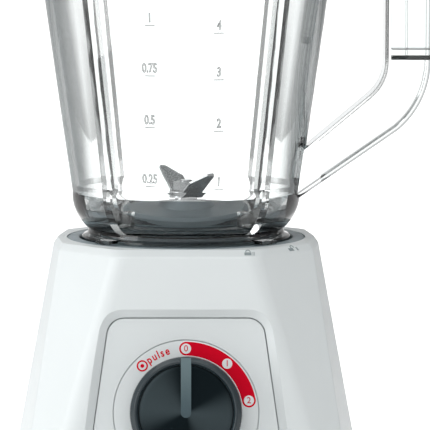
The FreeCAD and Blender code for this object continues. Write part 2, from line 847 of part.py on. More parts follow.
def make_stator():
    """The laminated stator: a round yoke with two poles reaching in to the rotor."""
    long = S.stack_high - S.stack_low
    yoke = ring("yoke", 31, 38, long, S.stack_low)
    poles = [box(f"pole_{i}", 12.6, 20, long, x, 0, S.stack_low) for i, x in enumerate((25.5, -25.5))]
    bore = cylinder("stator_bore", S.core_radius + 1, long + 2, 0, 0, S.stack_low - 1)
    return cut("motor_stator", fuse("stator_blank", yoke, *poles), bore)


motor_stator = make_stator()


def field_coil(i, x):
    """One field winding: a rounded loop of wire round a pole."""
    long = S.stack_high - S.stack_low
    body = new_body(f"coil_{i}")
    sketch = new_sketch(body, "YZ_Plane")
    add_outline(sketch, [(-15.6, -6), (15.6, -6), (15.6, long + 6), (-15.6, long + 6)])
    pad(body, sketch, 4.4, both_ways=True)
    rounded(body, 4, lambda e: abs(e.tangentAt(e.FirstParameter).x) > 0.99)
    window = new_sketch(body, "YZ_Plane", z=-5)
    add_outline(window, [(-10.2, -0.2), (10.2, -0.2), (10.2, long + 0.2), (-10.2, long + 0.2)])
    pocket(body, window, 20, both_ways=True)
    return place(body, x, 0, S.stack_low)


field_coils = group("field_coils", [field_coil(0, 23), field_coil(1, -23)])


def make_bracket(label, low, boss_low, boss_high, post_low, post_high, high):
    """A bearing bracket: a vented disc with a bearing boss and four posts to the stator."""
    disc = cylinder(label + "_disc", 38, as_size(high) - low, 0, 0, low)
    boss = cylinder(label + "_boss", 12, as_size(boss_high) - boss_low, 0, 0, boss_low)
    posts = [
        cylinder(f"{label}_post_{i}", 3.2, as_size(post_high) - post_low, x, y, post_low)
        for i, (x, y) in enumerate(polar(4, 22.5, POST_RING))
    ]
    bore = cylinder(label + "_bore", BEARING_RADIUS, 30, 0, 0, as_size(boss_low) - 5)
    vents = [
        cylinder(f"{label}_vent_{i}", 8, 12, x, y, as_size(low) - 4)
        for i, (x, y) in enumerate(polar(4, 0, 24))
    ]
    return cut(label, fuse(label + "_blank", disc, boss, *posts), fuse(label + "_cuts", bore, *vents))


upper_bracket = make_bracket("upper_bracket", 101, 98.5, 105.5, S.stack_high, 101.2, 104)
lower_bracket = make_bracket("lower_bracket", 38, 36, 42, 40.8, S.stack_low, 41)


def make_bearing(label, z):
    """A shaft bearing, its bore a running fit on the shaft."""
    body = turned(label, ring_points(S.shaft_radius + S.running_gap, BEARING_RADIUS, 0, BEARING_LONG))
    chamfered(body, 0.4, circle_at(BEARING_RADIUS, 0))
    return place(body, 0, 0, z)


upper_bearing = make_bearing("upper_bearing", 99)
lower_bearing = make_bearing("lower_bearing", 36)

motor_shroud = ring("motor_shroud", 34.2, 37, 16, 22)

mounts = [ring(f"mount_{i}", 1.7, 6, 8, 104, x, y) for i, (x, y) in enumerate(polar(4, 45, 30))]
motor_mounts = group("motor_mounts", mounts)


def mount_screw(i, x, y):
    """A screw from below the bracket up into the seat plate's boss."""
    head = cylinder(f"mount_screw_head_{i}", 2.6, 2, x, y, 99)
    shank = cylinder(f"mount_screw_shank_{i}", 1.6, 19.8, x, y, 101)
    return fuse(f"mount_screw_{i}", head, shank)


bracket_holes = [
    cylinder(f"bracket_hole_{i}", 1.7, 12, x, y, 97) for i, (x, y) in enumerate(polar(4, 45, 30))
]
upper_bracket.Label = "upper_bracket_blank"
upper_bracket = cut("upper_bracket_drilled", upper_bracket, fuse("bracket_holes", *bracket_holes))
upper_bracket.Label = "upper_bracket"
motor_screws = group("motor_screws", [mount_screw(i, x, y) for i, (x, y) in enumerate(polar(4, 45, 30))])

BRUSH_HEIGHT = 95.2


def brush_parts(i, side):
    """One brush holder, hung from the upper bracket, and its carbon brush against the commutator."""
    tube = box(f"holder_tube_{i}", 11.4, 8, 8, side * 18.3, 0, BRUSH_HEIGHT - 4)
    hanger = box(f"holder_hanger_{i}", 3, 8, 2.0, side * 15.5, 0, BRUSH_HEIGHT + 3.8)
    channel = box(f"holder_channel_{i}", 14, 5, 5, side * 18.3, 0, BRUSH_HEIGHT - 2.5)
    holder = cut(f"brush_holder_{i}", fuse(f"holder_blank_{i}", tube, hanger), channel)
    brush = box(f"brush_block_{i}", 11, 5, 5, side * 15.6, 0, BRUSH_HEIGHT - 2.5)
    return holder, brush


brush_pairs = [brush_parts(i, side) for i, side in enumerate((1, -1))]
brush_holders = group("brush_holders", [pair[0] for pair in brush_pairs])
carbon_brushes = group("carbon_brushes", [pair[1] for pair in brush_pairs])

# rotor
motor_shaft = cylinder("shaft_bar", S.shaft_radius, 112.5, 0, 0, 23)
motor_shaft.Label = "motor_shaft"


def make_core():
    """The rotor's laminations, slotted for the windings."""
    long = S.stack_high - S.stack_low
    body = turned("rotor_core", ring_points(S.shaft_radius, S.core_radius, S.stack_low, S.stack_high))
    slot = new_sketch(body, z=S.stack_low - 1)
    add_outline(slot, [(11, -1.4), (20, -1.4), (20, 1.4), (11, 1.4)])
    first = pocket(body, slot, long + 2, reverse=True)
    around(body, first, 12)
    return body


rotor_core = make_core()


def make_windings():
    """The rotor's end windings: a rounded doughnut above and below the laminations."""
    rings = []
    for i, (low, high) in enumerate(((S.stack_low - 7, S.stack_low), (S.stack_high, S.stack_high + 5))):
        body = turned(f"end_winding_{i}", ring_points(5.5, S.core_radius - 1.6, low, high))
        rounded(body, 2.5, circle_at(S.core_radius - 1.6, low if i == 0 else high))
        rings.append(body)
    return group("rotor_windings", rings)


rotor_windings = make_windings()
commutator = turned("commutator", ring_points(S.shaft_radius, 10, 91, 98.3))


def make_fan():
    """The cooling fan: a disc on a hub with slanted blades below it."""
    shaft = S.shaft_radius
    body = turned("fan_turned", [(shaft, 25), (8, 25), (8, 33.4), (31, 33.4), (31, 35), (shaft, 35)])
    blades = []
    for i in range(9):
        angle = 40 * i
        blade = box(f"fan_blade_{i}", 22, 1.6, 8, 0, 0, 0)
        x, y = polar(1, angle, 19.4)[0]
        turn = math.radians(angle + 25)
        place(blade, x - 11 * math.cos(turn), y - 11 * math.sin(turn), 25.6, Z_AXIS, angle + 25)
        blades.append(blade)
    trim = cylinder("fan_trim", 31, 12, 0, 0, 25)
    fused = fuse("fan_blank", body, common("fan_blades", fuse("fan_blade_set", *blades), trim))
    return cut("cooling_fan", fused, cylinder("fan_bore", shaft, 14, 0, 0, 24))


cooling_fan = make_fan()

DOG_LOW = 128
DOG_SPAN = 28


def make_drive_dog():
    """The motor's coupling: a hub with four fins."""
    fins = [sector(f"drive_fin_{a}", 5, 13, 8.2, DOG_LOW, a, DOG_SPAN) for a in (0, 90, 180, 270)]
    hub = cylinder("drive_hub", 5.5, 9, 0, 0, DOG_LOW - 0.8)
    bore = cylinder("drive_bore", S.shaft_radius, 8.3, 0, 0, DOG_LOW - 0.8)
    return cut("drive_dog", fuse("drive_blank", hub, *fins), bore)


drive_dog = make_drive_dog()

# ---------------------------------------------------------------- blade unit


def make_driven_dog():
    """The blade unit's coupling: a cup with four inner lugs, open below, on the blade shaft."""
    cup = turned("driven_cup", [
        (S.shaft_radius, 136.8), (14, 136.8), (14, DOG_LOW), (17, DOG_LOW), (17, 137.5), (16, 138.5),
        (S.shaft_radius, 138.5)])
    lugs = [sector(f"driven_lug_{a}", 6.5, 14.5, 8.9, DOG_LOW, a + 57, DOG_SPAN) for a in (0, 90, 180, 270)]
    return fuse("driven_dog", cup, *lugs)


driven_dog = make_driven_dog()


def make_holder():
    """The blade holder: a screw-in cup that closes the jug's floor, with a boss for the shaft's bush."""
    opening = S.holder_opening
    blank = turned("holder_turned", [
        (19.5, 129),
        (24, 129),
        (24, 132),
        (40, 132),
        (40, 135.2),
        (opening - 0.3, 135.2),
        (opening - 0.3, 142),
        (opening - 1.8, 143.5),
        (14, 143.5),
        (10, 148.5),
        (7, 148.5),
        (7, 139.8),
        (19.5, 139.8),
    ])
    grips = [box(f"holder_grip_{i}", 5, 3, 3.4, x, y, 129) for i, (x, y) in enumerate(polar(4, 45, 26))]
    return fuse("blade_holder", blank, *grips)


blade_holder = make_holder()
holder_seal = turned("holder_seal", ring_points(32, 38, 135.2, S.jug_underside))
blade_bush = turned("blade_bush", ring_points(S.shaft_radius + S.running_gap, 7, 139.8, 147.5))
shaft_seal = turned("shaft_seal", ring_points(S.shaft_radius + 0.06, 7, 147.5, 148.5))
blade_shaft = turned("blade_shaft", [(0, 136.9), (S.shaft_radius, 136.9), (S.shaft_radius, 151), (3, 151),
                                     (3, 161), (2.6, 161.4), (0, 161.4)])


def make_blade(label, height, reach, bend, turn):
    """A pair of sharpened wings bent up or down from a flat middle."""
    middle = cylinder(label + "_middle", 8, 1.6, 0, 0, height)
    wings = []
    for side in (0, 180):
        flat = new_body(f"{label}_wing_{side}")
        sketch = new_sketch(flat)
        add_outline(sketch, [(0, -5), (reach * 0.6, -5), (reach, 1), (reach * 0.96, 4.6), (0, 5)])
        pad(flat, sketch, 1.6)
        chamfered(flat, 0.7, lambda e: abs(e.tangentAt(e.FirstParameter).z) < 0.1 and e.CenterOfMass.z > 1.5
                  and e.CenterOfMass.y < 0 and e.Length > 8 and e.CenterOfMass.x > 3, 2.4)
        about_z = Rotation(Z_AXIS, turn + side)
        root = about_z.multVec(Vector(6.5, 0, 0)) + Vector(0, 0, height)
        flat.Placement = Placement(root, about_z.multiply(Rotation(Y_AXIS, -bend)))
        wings.append(flat)
    bore = cylinder(label + "_bore", 3, 30, 0, 0, height - 12)
    return cut(label, fuse(label + "_blank", middle, *wings), bore)


lower_blade = make_blade("lower_blade", 151, 23, -10, 20)
blade_spacer = turned("blade_spacer", ring_points(3, 5.5, 152.6, 154.6))
upper_blade = make_blade("upper_blade", 154.6, 23, 28, 110)


def make_nut():
    """The nut that holds the blades: a hexagon with a domed top."""
    body = new_body("nut_body")
    sketch = new_sketch(body)
    add_outline(sketch, polar(6, 0, 6))
    pad(body, sketch, 4.4)
    hole = new_sketch(body)
    add_circle(hole, 3)
    pocket(body, hole, 10, reverse=True)
    place(body, 0, 0, 156.2)
    body.Label = "blade_nut"
    return body


blade_nut = make_nut()
retaining_clip = cut("retaining_clip", ring("clip_ring", S.shaft_radius, 6.2, 0.9, 138.6),
                     box("clip_gap", 8, 3, 3, 5, 0, 137.5))

# ---------------------------------------------------------------- jug

RIM_RADIUS = 77.74
CORNER_HEIGHT = 156
CORNER_RADIUS = 54.5


def wall_radius(height):
    """The jug's outer radius at a height above its rounded corner."""
    return CORNER_RADIUS + S.jug_slope * (as_size(height) - CORNER_HEIGHT)


def make_jug_outer():
    """The jug's outside as a solid: foot, rounded lower corner, flared wall and rolled rim."""
    foot = S.foot_outer
    return turned("jug_outside", [
        (0, S.jug_underside),
        (45.5, S.jug_underside),
        (45.5, 127.6),
        (foot - 0.6, 127.6),
        (foot, 128.2),
        (foot, 134.6),
        (foot - 0.8, 135.4),
        (47.2, 136.2),
        (46.8, 138.5),
        (CORNER_RADIUS, CORNER_HEIGHT),
        (wall_radius(S.jug_rim - 4), S.jug_rim - 4),
        (wall_radius(S.jug_rim) + 0.9, S.jug_rim - 3),
        (wall_radius(S.jug_rim) + 0.9, S.jug_rim - 1.2),
        (wall_radius(S.jug_rim) - 0.6, S.jug_rim),
        (0, S.jug_rim),
    ], {8: 2.4})


def make_jug_inner(label, inset=0):
    """The space inside the jug, down to the floor."""
    wall = S.jug_wall + inset
    top = S.jug_rim + 2
    return turned(label, [
        (0, S.jug_floor + inset),
        (38, S.jug_floor + inset),
        (46, S.jug_floor + 4 + inset),
        (wall_radius(160) - wall, 160),
        (wall_radius(top) - wall, top),
        (0, top),
    ], {1: 1.2, 2: 1.6})


GRIP = S.grip_centre
GRIP_OUT = S.grip_centre + S.grip_deep / 2
GRIP_IN = S.grip_centre - S.grip_deep / 2
BEND_X, BEND_Z, BEND_MIDDLE = 73.2, 218.5, 32.0
HANDLE_TOP = 312
CHANNEL_WEB, FINGER_WEB = 10.5, 2.9  # what the channel's wide and narrow steps leave next to the fingers


def make_handle():
    """The handle: an upright grip that bends in to the jug below, with a channel open on its outer side."""
    outer_end = (BEND_X + 42.75 * 0.643, BEND_Z - 42.75 * 0.766)
    inner_end = (BEND_X + 21.25 * 0.643, BEND_Z - 21.25 * 0.766)
    body = new_body("handle_blank")
    sketch = new_sketch(body, "XZ_Plane")
    add_outline(sketch, [
        (49, 150.0),
        outer_end,
        (GRIP_OUT, BEND_Z),
        (GRIP_OUT, HANDLE_TOP - 18),
        (GRIP_OUT - 18, HANDLE_TOP),
        (70, HANDLE_TOP),
        (70, HANDLE_TOP - 19),
        (GRIP_IN - 7, HANDLE_TOP - 19),
        (GRIP_IN, HANDLE_TOP - 26),
        (GRIP_IN, BEND_Z),
        inner_end,
        (49, 170.5),
    ], {1: 4.0, 3: 5.2, 7: -2.0, 9: -2.0})
    pad(body, sketch, S.grip_wide, both_ways=True)
    rounded(body, 2.2, lambda e: abs(e.tangentAt(e.FirstParameter).y) < 0.01 and e.CenterOfMass.x > 62)
    cut_channel(body, CHANNEL_WEB, S.grip_wide - 5.8)
    cut_channel(body, FINGER_WEB, S.grip_wide - 12)
    return body


def cut_channel(body, web, width):
    """Cuts the handle's channel from its outer side, leaving a web next to the fingers."""
    radius = 21.25 + web
    bend_end = (BEND_X + radius * 0.643, BEND_Z - radius * 0.766)
    jug_end = (64, bend_end[1] - (bend_end[0] - 64) * 0.839)
    bow = radius * (1 - math.cos(math.radians(25)))
    channel = new_sketch(body, "XZ_Plane")
    add_outline(channel, [
        jug_end,
        (64, 140),
        (130, 150),
        (130, HANDLE_TOP - 30),
        (GRIP_IN + web, HANDLE_TOP - 30),
        (GRIP_IN + web, BEND_Z),
        bend_end,
    ], {5: -bow})
    pocket(body, channel, width, both_ways=True)


def make_spout():
    """Outside and inside of the pouring lip, as leaning cylinders."""
    lip = []
    for label, radius in (("spout_outside", 19), ("spout_inside", 15.6)):
        lean = cylinder(label + "_bar", radius, 80)
        place(lean, -46, 0, S.jug_rim - 60, Y_AXIS, -22)
        keep = box(label + "_keep", 120, 80, 70 if radius > 18 else 72, -60, 0, S.jug_rim - 70)
        lip.append(common(label, lean, keep))
    return lip


def make_jug():
    """The clear jug in one piece with its foot, locking tabs, ribs, lip and handle."""
    spout_outside, spout_inside = make_spout()
    tabs = [
        sector(f"tab_{a}", S.foot_outer - 1, S.tab_outer, 3.3, 127.7, a, S.tab_angle) for a in TAB_ANGLES
    ]
    collars = [
        sector(f"collar_lug_{a}", S.foot_outer - 3.4, 55.4, 1.6, S.plate_top + 0.5, a, 10) for a in TAB_ANGLES
    ]
    blank = fuse("jug_blank", make_jug_outer(), make_handle(), spout_outside, *tabs, *collars)
    hole = cylinder("floor_hole", S.holder_opening, 20, 0, 0, 130)
    pockets = [
        cylinder(f"peg_pocket_{i}", 1.75, 4, x, y, 126.6)
        for i, (x, y) in enumerate(polar(3, 0, S.peg_circle))
    ]
    space = fuse("jug_cuts", make_jug_inner("jug_inside"), spout_inside, hole, *pockets)
    hollow = cut("jug_hollow", blank, space)
    ribs = []
    for a in TAB_ANGLES:
        reach = math.radians(a)
        along = Vector(math.cos(reach), math.sin(reach), 0)
        rib = box(f"rib_{a}", 44, S.rib_width, 150)
        start = along * 36 - Vector(-along.y, along.x, 0) * (S.rib_width.number / 2)
        place(rib, start.x, start.y, S.jug_floor - 1, Z_AXIS, a)
        ribs.append(rib)
    rib_zone = cut("rib_zone", make_jug_inner("rib_outside", -1), make_jug_inner("rib_inside", S.rib_depth))
    rib_set = common("rib_set", fuse("rib_blanks", *ribs), rib_zone)
    return fuse("jug", hollow, rib_set)


jug = make_jug()


INSERT_LOW = 219
INSERT_HIGH = HANDLE_TOP - 31.5


def make_handle_cover():
    """The clear insert that fills the grip's stepped channel."""
    bars = []
    wide = ("wide", CHANNEL_WEB, S.grip_deep - 0.2, S.grip_wide - 6.2)
    narrow = ("narrow", FINGER_WEB + 0.1, CHANNEL_WEB, S.grip_wide - 12.4)
    for name, inner, outer, width in (wide, narrow):
        length = as_size(outer) - inner
        middle = GRIP_IN + inner + length / 2
        bars.append(box(f"insert_{name}", length, width, INSERT_HIGH - INSERT_LOW, middle, 0, INSERT_LOW))
    return fuse("handle_cover", *bars)


handle_cover = make_handle_cover()

# ---------------------------------------------------------------- lid, seal and measuring cap

def make_lid():
    """The lid: a plug into the jug's mouth, a brim over its rim and a raised filling collar."""
    fill = S.fill_radius
    brim = wall_radius(S.jug_rim) + 1.6
    low = S.jug_rim - 14
    return turned("lid", [
        (fill + 3, S.jug_rim + 1),
        (69.6, S.jug_rim + 1),
        (69.0, low),
        (71.0, low),
        (71.9, S.jug_rim + 0.4),
        (brim, S.jug_rim + 0.4),
        (brim, S.jug_rim + 3),
        (brim - 2.5, S.jug_rim + 6),
        (56, S.jug_rim + 10),
        (fill + 6, S.jug_rim + 11.5),
        (fill + 5.4, S.jug_rim + 16),
        (fill + 3.4, S.jug_rim + 17.5),
        (fill, S.jug_rim + 17.5),
        (fill, S.jug_rim - 8),
        (fill + 3, S.jug_rim - 8),
    ])


lid = make_lid()


def make_cap():
    """The measuring cap: a clear cup, mouth down in the filling hole, with a wide brim on the collar."""
    fill = S.fill_radius
    low, high = S.jug_rim - 12, S.jug_rim + 34
    brim_low = S.jug_rim + 17.8
    brim_high = S.jug_rim + 20.4
    return turned("measuring_cap", [
        (0, high - 3),
        (fill - 3.4, high - 3),
        (fill - 3.4, low),
        (fill - 0.9, low),
        (fill - 0.5, brim_low),
        (fill + 5, brim_low),
        (fill + 5, brim_high),
        (fill - 0.4, brim_high + 0.6),
        (fill - 1.4, high - 3),
        (fill - 4.4, high),
        (0, high),
    ])


measuring_cap = make_cap()


def make_lid_seal():
    """The soft ring round the lid's plug, its lip against the jug's wall."""
    low = S.jug_rim - 10
    lip = wall_radius(low) - S.jug_wall - 0.06
    profile = [(71.3, low), (lip, low), (lip, low + 1.6), (lip - 0.5, low + 3), (71.5, low + 3)]
    return turned("lid_seal", profile)


lid_seal = make_lid_seal()

NODES = [
    "base_housing", "bottom_cover", "feet", "cover_screws", "cord_gland", "seat_plate", "interlock_ring",
    "ring_clips", "interlock_switch", "switch_plunger", "switch_bracket", "control_panel", "dial_ring",
    "rotary_switch", "knob", "knob_face", "knob_pointer", "switch_spindle", "motor_stator", "field_coils",
    "upper_bracket", "lower_bracket", "upper_bearing", "lower_bearing", "motor_shroud", "motor_mounts",
    "motor_screws", "brush_holders", "carbon_brushes", "motor_shaft", "rotor_core", "rotor_windings",
    "commutator", "cooling_fan", "drive_dog", "driven_dog", "blade_holder", "holder_seal", "blade_bush",
    "shaft_seal", "blade_shaft", "lower_blade", "blade_spacer", "upper_blade", "blade_nut", "retaining_clip",
    "jug", "handle_cover", "lid", "measuring_cap", "lid_seal",
]
save_all(NODES)
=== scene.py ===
"""Looks for the countertop blender: materials for every CAD node, and the printed, moulded and clear details.

Everything is in metres in the CAD's frame: +Z up, front at -Y, origin on the motor axis at the worktop.
"""

import json
import math
from collections import namedtuple

import bmesh
import bpy
from mathutils import Matrix, Vector


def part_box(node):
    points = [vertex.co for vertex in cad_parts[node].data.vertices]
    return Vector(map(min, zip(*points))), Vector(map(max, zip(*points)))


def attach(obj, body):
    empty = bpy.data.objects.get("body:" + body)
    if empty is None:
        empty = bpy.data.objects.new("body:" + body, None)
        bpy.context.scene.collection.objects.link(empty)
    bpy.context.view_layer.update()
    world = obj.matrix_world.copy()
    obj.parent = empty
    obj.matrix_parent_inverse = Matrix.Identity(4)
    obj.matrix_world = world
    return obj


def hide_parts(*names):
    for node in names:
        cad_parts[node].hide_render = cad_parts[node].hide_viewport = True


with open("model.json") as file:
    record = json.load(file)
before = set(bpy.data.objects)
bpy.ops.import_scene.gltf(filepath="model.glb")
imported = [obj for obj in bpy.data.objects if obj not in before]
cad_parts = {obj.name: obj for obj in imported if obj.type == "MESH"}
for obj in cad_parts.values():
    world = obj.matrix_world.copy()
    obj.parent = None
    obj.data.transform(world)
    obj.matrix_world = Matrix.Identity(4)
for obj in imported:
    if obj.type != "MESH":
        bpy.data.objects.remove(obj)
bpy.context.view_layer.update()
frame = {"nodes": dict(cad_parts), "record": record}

MM = 0.001

# the front face leans back; these match the CAD's own sizes
FACE_TILT = math.radians(9.84)
KNOB_CENTRE = Vector((0, -76.66, 61)) * MM
PANEL_DEPTH = 2.4 * MM
KNOB_RADIUS = 25.8 * MM
KNOB_TOP = 13 * MM
SEAT_TOP = 134 * MM

# the jug's wall
JUG_CORNER_HEIGHT = 156 * MM
JUG_CORNER_RADIUS = 54.5 * MM
JUG_SLOPE = 0.14

# the dial's scale; clock angles are degrees clockwise from the top
SCALE_RADIUS = 29.4 * MM
SCALE_WIDTH = 6.3 * MM
SCALE_EDGE = 0.35 * MM
SCALE_STOPS = {"0": 0, "1": 40, "2": 79}
STOP_RADIUS = 2.35 * MM
PULSE_CLOCK = -43
PULSE_LETTERS = (("p", -35.0), ("u", -29.6), ("l", -25.6), ("s", -21.9), ("e", -17.0))
EDGE_THICK = 0.05 * MM
BAND_THICK = 0.08 * MM
STOP_THICK = 0.03 * MM
FIGURE_THICK = 0.04 * MM
HAIR = 0.02 * MM

# the heights of the jug's marks above the worktop, in millimetres
LITRES = {"0.25": 162.7, "0.5": 190.3, "0.75": 214.3, "1": 237.4, "1.25": 259.0, "1.5": 279.5}
CUPS = {"1": 161.3, "2": 188.7, "3": 212.5, "4": 234.0, "5": 255.5, "6": 276.0}

# the knob's spun disc: share of the radius, share of the rise
DISC_PROFILE = (
    (0.25, 0.97),
    (0.6, 0.86),
    (0.9, 0.66),
    (0.985, 0.5),
    (1.0, 0.2),
    (1.0, 0.0),
)
DISC_STEPS = 128
DISC_INSET = 4.2 * MM
DISC_DEPTH = 1.6 * MM
DISC_RISE = 0.9 * MM
# the line through the knob's spun disc along which its painted highlight is palest, as an angle from +X
PAINTED_SHEEN_ANGLE = math.radians(155)

# the camera
CAMERA_PLACE = (0, -1.44, 0.2924)
CAMERA_DROP = math.radians(5.88)
CAMERA_LENS = 252.502326
CAMERA_SHIFT = 0.0674419

# the light from each side of the studio: toward, where it starts and is full (cosines), how much it adds
SURROUND = (
    ((0, 0, 1), -3.0, -2.0, 0.14),
    ((-1, 0, 0.1), -0.5, 0.6, 0.2),
    ((0.25, -1, 0.1), -0.2, 0.5, 0.4),
    ((0, 1, 0), 0.75, 0.97, 0.4),
    ((0, 1, 0), 0.985, 0.993, 0.7),
    ((-0.1, -0.1, 1), 0.7, 0.93, 1.4),
)

# the key light and the floor
KEY_PLACE = (-0.62, -0.24, 0.26)
KEY_AIM = (0, 0, 0.1)
KEY_SIZE = (0.3, 0.45)
KEY_POWER = 1.3
FLOOR_HALF = 2
FLOOR_LEVEL = -0.0002
FLOOR_GLOW = 0.75
GLOW_RISE = 0.35
POOL_HALF = 0.16
POOL_END = 0.27
POOL_WIDENING = 0.08


# ---------------------------------------------------------------- node materials

# nearly all of a noise's values lie between these
NOISE_LOW = 0.3
NOISE_HIGH = 0.7


class Nodes:
    """A small helper that adds nodes to a node tree."""

    def __init__(self, node_tree):
        self.nodes = node_tree.nodes
        self.links = node_tree.links

    def feed(self, node, name, value):
        """Sets or links one input, found by its name or its number."""
        socket = node.inputs[name]
        if isinstance(value, bpy.types.NodeSocket):
            self.links.new(value, socket)
        else:
            socket.default_value = value

    def add(self, kind, **inputs):
        """A new node with its inputs set to values or linked to sockets."""
        node = self.nodes.new(kind)
        for name, value in inputs.items():
            self.feed(node, name.replace("_", " "), value)
        return node

    def operate(self, kind, operation, *values):
        """A new math or vector math node with its inputs given in order."""
        node = self.nodes.new(kind)
        node.operation = operation
        for number, value in enumerate(values):
            self.feed(node, number, value)
        return node

    def number(self, operation, *values):
        """The result of a sum on numbers."""
        return self.operate("ShaderNodeMath", operation, *values).outputs[0]

    def vector(self, operation, *values):
        """The result of a sum on vectors that gives a vector."""
        return self.operate("ShaderNodeVectorMath", operation, *values).outputs["Vector"]

    def measure(self, operation, *values):
        """The result of a sum on vectors that gives a number."""
        return self.operate("ShaderNodeVectorMath", operation, *values).outputs["Value"]

    def ramp(self, value, start, end, top):
        """A smooth rise from 0 to top as a value goes from start to end."""
        node = self.add("ShaderNodeMapRange", Value=value)
        node.interpolation_type = "SMOOTHSTEP"
        node.inputs["From Min"].default_value = start
        node.inputs["From Max"].default_value = end
        node.inputs["To Min"].default_value = 0.0
        node.inputs["To Max"].default_value = top
        return node.outputs["Result"]


class Tree(Nodes):
    """A small helper that builds one material's node tree."""

    def __init__(self, name):
        self.material = bpy.data.materials.new(name)
        self.material.use_nodes = True
        super().__init__(self.material.node_tree)
        self.shader = self.nodes["Principled BSDF"]
        self.coordinates = self.nodes.new("ShaderNodeTexCoord").outputs["Object"]

    def set(self, **inputs):
        """Sets or links inputs of the main shader."""
        for name, value in inputs.items():
            self.feed(self.shader, name.replace("_", " "), value)

    def noise(self, cell, detail=3.0, stretch=(1, 1, 1)):
        """A noise value whose features are about one cell across."""
        scaled = self.vector("MULTIPLY", self.coordinates, [s / cell for s in stretch])
        return self.add("ShaderNodeTexNoise", Vector=scaled, Scale=1.0, Detail=detail).outputs["Fac"]

    def spread(self, value, low, high):
        """Maps a noise value to a range of numbers."""
        node = self.add("ShaderNodeMapRange", Value=value)
        node.inputs["From Min"].default_value = NOISE_LOW
        node.inputs["From Max"].default_value = NOISE_HIGH
        node.inputs["To Min"].default_value = low
        node.inputs["To Max"].default_value = high
        return node.outputs["Result"]

    def tint(self, value, colour, change):
        """A colour that varies by a share either way with a noise value."""
        node = self.nodes.new("ShaderNodeValToRGB")
        dark, pale = node.color_ramp.elements
        dark.position = NOISE_LOW
        pale.position = NOISE_HIGH
        dark.color = [c * (1 - change) for c in colour] + [1]
        pale.color = [min(c * (1 + change), 1) for c in colour] + [1]
        self.links.new(value, node.inputs["Fac"])
        return node.outputs["Color"]

    def mix(self, share, first, last):
        """A colour between a first colour, from a node, and a last one."""
        first_colour, last_colour, mixed_colour = 6, 7, 2
        node = self.nodes.new("ShaderNodeMix")
        node.data_type = "RGBA"
        self.links.new(share, node.inputs["Factor"])
        self.feed(node, first_colour, first)
        self.feed(node, last_colour, (*last, 1))
        return node.outputs[mixed_colour]

    def bump(self, value, height):
        """A bump from a value."""
        return self.add("ShaderNodeBump", Height=value, Distance=height, Strength=1.0).outputs["Normal"]


def moulded(name, colour, roughness, grain=0.0006, height=0.00002, change=0.02, coat=0.0, gloss=0.5):
    """Moulded plastic: slow colour drift, uneven gloss and a fine grain."""
    tree = Tree(name)
    tree.set(
        Base_Color=tree.tint(tree.noise(0.03), colour, change),
        Roughness=tree.spread(tree.noise(0.008), roughness * 0.85, roughness * 1.15),
        Normal=tree.bump(tree.noise(grain), height),
        Coat_Weight=coat,
        Coat_Roughness=0.12,
        Specular_IOR_Level=gloss,
    )
    return tree.material


def printed(name, colour, change=0.03):
    """Matt ink on plastic: an even film with slight density changes and hardly any gloss."""
    tree = Tree(name)
    tree.set(
        Base_Color=tree.tint(tree.noise(0.002), colour, change),
        Roughness=tree.spread(tree.noise(0.001), 0.7, 0.85),
        Normal=tree.bump(tree.noise(0.0003), 0.00001),
        Specular_IOR_Level=0.08,
    )
    return tree.material


def rubbery(name, colour):
    """Soft rubber or silicone: dull with a dusty, pitted skin."""
    tree = Tree(name)
    tree.set(
        Base_Color=tree.tint(tree.noise(0.004), colour, 0.12),
        Roughness=tree.spread(tree.noise(0.002), 0.6, 0.8),
        Normal=tree.bump(tree.noise(0.0004), 0.00005),
    )
    return tree.material


def machined(name, colour, roughness, stretch=(1, 1, 8)):
    """Machined or plated metal with fine tool lines, close together along the axis that is stretched most."""
    tree = Tree(name)
    lines = tree.noise(0.0012, 4.0, stretch)
    tree.set(
        Base_Color=tree.tint(lines, colour, 0.08),
        Metallic=1.0,
        Roughness=tree.spread(lines, roughness * 0.7, roughness * 1.3),
        Normal=tree.bump(lines, 0.00002),
    )
    return tree.material


def cast(name, colour):
    """Die-cast or stacked metal: mottled and slightly rough."""
    tree = Tree(name)
    tree.set(
        Base_Color=tree.tint(tree.noise(0.003), colour, 0.15),
        Metallic=1.0,
        Roughness=tree.spread(tree.noise(0.002), 0.35, 0.6),
        Normal=tree.bump(tree.noise(0.0008), 0.00006),
    )
    return tree.material


def wound(name, colour):
    """Enamelled wire: close parallel strands."""
    tree = Tree(name)
    wave = tree.add("ShaderNodeTexWave", Vector=tree.coordinates, Scale=320.0, Distortion=1.5)
    tree.set(
        Base_Color=tree.tint(wave.outputs["Fac"], colour, 0.3),
        Metallic=0.8,
        Roughness=0.35,
        Normal=tree.bump(wave.outputs["Fac"], 0.0002),
    )
    return tree.material


def clear(name, colour, edge, roughness=0.02, waviness=0.00003):
    """Clear moulded plastic: flow lines, a little haze, and a painted shade edge-on, where the wall looks
    thick.
    """
    tree = Tree(name)
    # painted shade: the colour turns to the dark edge colour as the surface turns edge-on
    grazing = tree.add("ShaderNodeLayerWeight", Blend=0.5).outputs["Facing"]
    plain = tree.tint(tree.noise(0.05), colour, 0.01)
    tree.set(
        Base_Color=tree.mix(tree.ramp(grazing, 0.28, 0.88, 1.0), plain, edge),
        Transmission_Weight=1.0,
        IOR=1.45,
        Roughness=tree.spread(tree.noise(0.02), roughness * 0.5, roughness * 1.5),
        Normal=tree.bump(tree.noise(0.02, 1.0), waviness),
    )
    return tree.material


def pointer_slate():
    """The pointer's slate plastic, with a painted highlight that makes it paler toward the top end of the
    knob's face at rest.
    """
    tree = Tree("pointer_slate")
    height = tree.add("ShaderNodeSeparateXYZ", Vector=tree.coordinates).outputs["Z"]
    # painted highlight: the colour pales with height, toward the pointer's top end
    outward = tree.ramp(height, 0.062, 0.088, 1.0)
    middle = tree.tint(tree.noise(0.004), (0.05, 0.085, 0.1), 0.06)
    tree.set(
        Base_Color=tree.mix(outward, middle, (0.13, 0.19, 0.205)),
        Roughness=tree.spread(tree.noise(0.002), 0.3, 0.42),
        Normal=tree.bump(tree.noise(0.0004), 0.00002),
    )
    return tree.material


